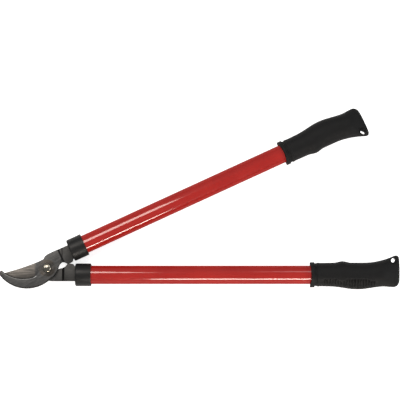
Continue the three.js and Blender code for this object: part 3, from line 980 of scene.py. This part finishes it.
def ground_blade(tree, local, skin, flat):
    """The flat is ground along the spine, but not beside the boss; the back is ground to the cutting edge."""
    lined = node(
        tree,
        "ShaderNodeMapping",
        {"Vector": local, "Rotation": (0, 0, math.radians(-18.7)), "Scale": (0.04, 0.8, 0.04)},
    ).outputs["Vector"]
    lines = node(
        tree,
        "ShaderNodeTexNoise",
        {"Vector": lined, "Scale": 1.0, "Detail": 4.0, "Roughness": 0.7},
    ).outputs["Fac"]
    lines = ranged(tree, lines, 0.3, 0.7, 0.0, 1.0)
    x = node(tree, "ShaderNodeSeparateXYZ", {"Vector": local}).outputs["X"]
    reach = maths(tree, "MULTIPLY", ranged(tree, x, -20.5, -17.5, 1.0, 0.0), flat)
    face = blended(tree, lines, shade(0.046, 0.06), shade(0.155, 0.09))
    skin = blended(tree, reach, skin, face)
    seat = ring_mask(tree, local, (0, 0), 15.2, 0.5)["Inside"]
    skin = blended(
        tree,
        maths(tree, "MULTIPLY", seat, flat),
        skin,
        blended(tree, lines, shade(0.048), shade(0.066, 0.02)),
    )
    return skin, reach


def ground_hook(tree, local, skin, flat):
    """A painted highlight follows the ground rim, a painted shade the belly edge, and cutter rings surround
    the bolt.
    """
    x = node(tree, "ShaderNodeSeparateXYZ", {"Vector": local}).outputs["X"]
    crescent = ranged(tree, x, -14.5, -19.0, 0.0, 1.0)
    rim_highlight = maths(tree, "MULTIPLY", ring_mask(tree, local, (-37.2, 36.1), 53.0, 1.7, 0.8)["Band"], crescent)
    belly_shade = ring_mask(tree, local, (-31.6, 22.3), 54.6, 1.8, 1.0)["Band"]
    bolt_seat = ring_mask(tree, local, (0, 0), 13.2, 0.5, 1.5)
    rings = node(
        tree,
        "ShaderNodeTexNoise",
        {"W": maths(tree, "MULTIPLY", bolt_seat["Distance"], 1.5), "Scale": 1.0, "Detail": 2.0},
        noise_dimensions="1D",
    ).outputs["Fac"]
    worn = node(
        tree,
        "ShaderNodeTexNoise",
        {"Vector": local, "Scale": 0.12, "Detail": 3.0},
    ).outputs["Fac"]
    share = maths(
        tree,
        "MULTIPLY",
        maths(tree, "MULTIPLY", bolt_seat["Inside"], flat),
        ranged(tree, worn, 0.35, 0.6, 0.35, 0.95),
    )
    skin = blended(
        tree,
        share,
        skin,
        blended(tree, ranged(tree, rings, 0.35, 0.65, 0.0, 1.0), shade(0.024, 0.1), shade(0.085, 0.12)),
    )
    # Painted shade along the belly edge.
    skin = blended(tree, maths(tree, "MULTIPLY", belly_shade, 0.85), skin, shade(0.01))
    # A painted highlight along the ground rim.
    skin = blended(tree, maths(tree, "MULTIPLY", rim_highlight, 0.9), skin, shade(0.3))
    return skin, maths(tree, "MAXIMUM", share, rim_highlight)


def jaw(name, source, material, body):
    """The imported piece, welded, its flats joined and every edge broken with a small radius."""
    mesh = source.data.copy()
    bm = bmesh.new()
    bm.from_mesh(mesh)
    bmesh.ops.remove_doubles(bm, verts=bm.verts, dist=0.02 * MM)
    bmesh.ops.dissolve_limit(bm, angle_limit=math.radians(0.6), verts=bm.verts, edges=bm.edges)
    bm.to_mesh(mesh)
    bm.free()
    blank = bpy.data.objects.new("blank", mesh)
    bpy.context.scene.collection.objects.link(blank)
    edge = blank.modifiers.new("broken_edges", "BEVEL")
    edge.width = 0.35 * MM
    edge.segments = 3
    edge.limit_method = "ANGLE"
    edge.angle_limit = math.radians(28)
    edge.use_clamp_overlap = True
    edge.miter_outer = "MITER_ARC"
    bpy.context.view_layer.update()
    finished = bpy.data.meshes.new_from_object(blank.evaluated_get(bpy.context.evaluated_depsgraph_get()))
    bpy.data.objects.remove(blank)
    smooth_by_angle(finished, 30)
    return piece(name, finished, material, body, "forged_steel", source.name)


blade_steel = steel("blade_steel", 0, 25.2, 12, ground_blade)
hook_steel = steel("hook_steel", 2 * half_spread, 27.8, 27.2, ground_hook)
jaw("forged_blade", frame["nodes"]["cutting_blade"], blade_steel, "lower_handle")
jaw("forged_hook", frame["nodes"]["hook_jaw"], hook_steel, "upper_handle")

# ------------------------------------------------------------------ pivot bolt, washer and nut
# A polished, zinc plated M8 bolt with a low domed head, a plain washer and a nylon lock nut under the
# blade. The bolt's plain end shows past the nut.
def plated(name, tint, roughness):
    """Zinc plate: faint patches, smudged roughness and a fine grain bump."""
    material, tree, shader = new_material(name, {"Metallic": 1.0})
    place = node(tree, "ShaderNodeTexCoord").outputs["Object"]
    cast = node(tree, "ShaderNodeGroup", {}, node_tree=grain)
    tree.links.new(place, cast.inputs["Vector"])
    cast.inputs["Size"].default_value = 1400
    marks = node(tree, "ShaderNodeGroup", {}, node_tree=dust)
    tree.links.new(place, marks.inputs["Vector"])
    marks.inputs["Amount"].default_value = 0.7
    marks.inputs["Size"].default_value = 160
    tree.links.new(
        blended(tree, cast.outputs["Patches"], tuple(c * 0.8 for c in tint) + (1,), tint + (1,)),
        shader.inputs["Base Color"],
    )
    tree.links.new(
        ranged(tree, marks.outputs["Smudge"], 0.0, 0.7, roughness, roughness + 0.16),
        shader.inputs["Roughness"],
    )
    bump = node(
        tree,
        "ShaderNodeBump",
        {"Height": cast.outputs["Height"], "Strength": 0.08, "Distance": 0.0002},
    )
    tree.links.new(bump.outputs["Normal"], shader.inputs["Normal"])
    return material


zinc = plated("zinc_plate", (0.33, 0.3, 0.25), 0.1)
dull_zinc = plated("dull_zinc_plate", (0.46, 0.45, 0.43), 0.34)


def stood(profile, sides=72, closed=False):
    """A (height, radius) profile in millimetres, stood on Z at the pivot."""
    mesh = turned([(h * MM, r * MM) for h, r in profile], sides, closed)
    mesh.transform(Matrix.Translation(pivot) @ Matrix.Rotation(-math.pi / 2, 4, "Y"))
    smooth_by_angle(mesh, 35)
    return mesh


dome = [
    (6.9 + 2.9 * math.sin(a), 6.8 * math.cos(a)) for a in [math.pi / 2 * i / 24 for i in range(1, 24)]
]
bolt = stood(
    [
        (-16.35, 0.3),
        (-16.35, 3.1),
        (-15.6, 3.75),
        (-15.2, 3.85),
        (-7.0, 3.85),
        (-6.6, 4),
        (5.6, 4),
        (5.6, 6.5),
        (5.75, 6.75),
        (6.9, 6.8),
    ]
    + dome + [(9.8, 0.05)]
)
piece("domed_bolt", bolt, zinc, "lower_handle", "plated_steel", "pivot_bolt")
washer = stood(rounded([(-6.4, 4.3), (-6.4, 8), (-4.8, 8), (-4.8, 4.3)], 0.25), closed=True)
piece("plain_washer", washer, dull_zinc, "lower_handle", "plated_steel", "pivot_washer")

lock_nut = jaw("lock_nut", frame["nodes"]["pivot_nut"], dull_zinc, "lower_handle")

# ------------------------------------------------------------------ pieces inside the tubes
# Each tang is held in a moulded socket inside its tube and crossed by one steel pin. A nylon ring
# grips the bolt's thread in the nut. Little of them shows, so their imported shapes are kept.
socket_black = moulded_black("socket_black", (0.02, 0.02, 0.02), 0.5, 1800.0, 0.12, 0.4)
ring_nylon = moulded_black("ring_nylon", (0.55, 0.58, 0.56), 0.45, 1800.0, 0.08, 0.3)
for name, material, slot in (
    ("lower_tang_socket", socket_black, "socket_plastic"),
    ("upper_tang_socket", socket_black, "socket_plastic"),
    ("nut_nylon_ring", ring_nylon, "nylon"),
    ("lower_cross_pin", dull_zinc, "plated_steel"),
    ("upper_cross_pin", dull_zinc, "plated_steel"),
):
    kept = frame["nodes"][name]
    kept.data.materials.clear()
    kept.data.materials.append(material)
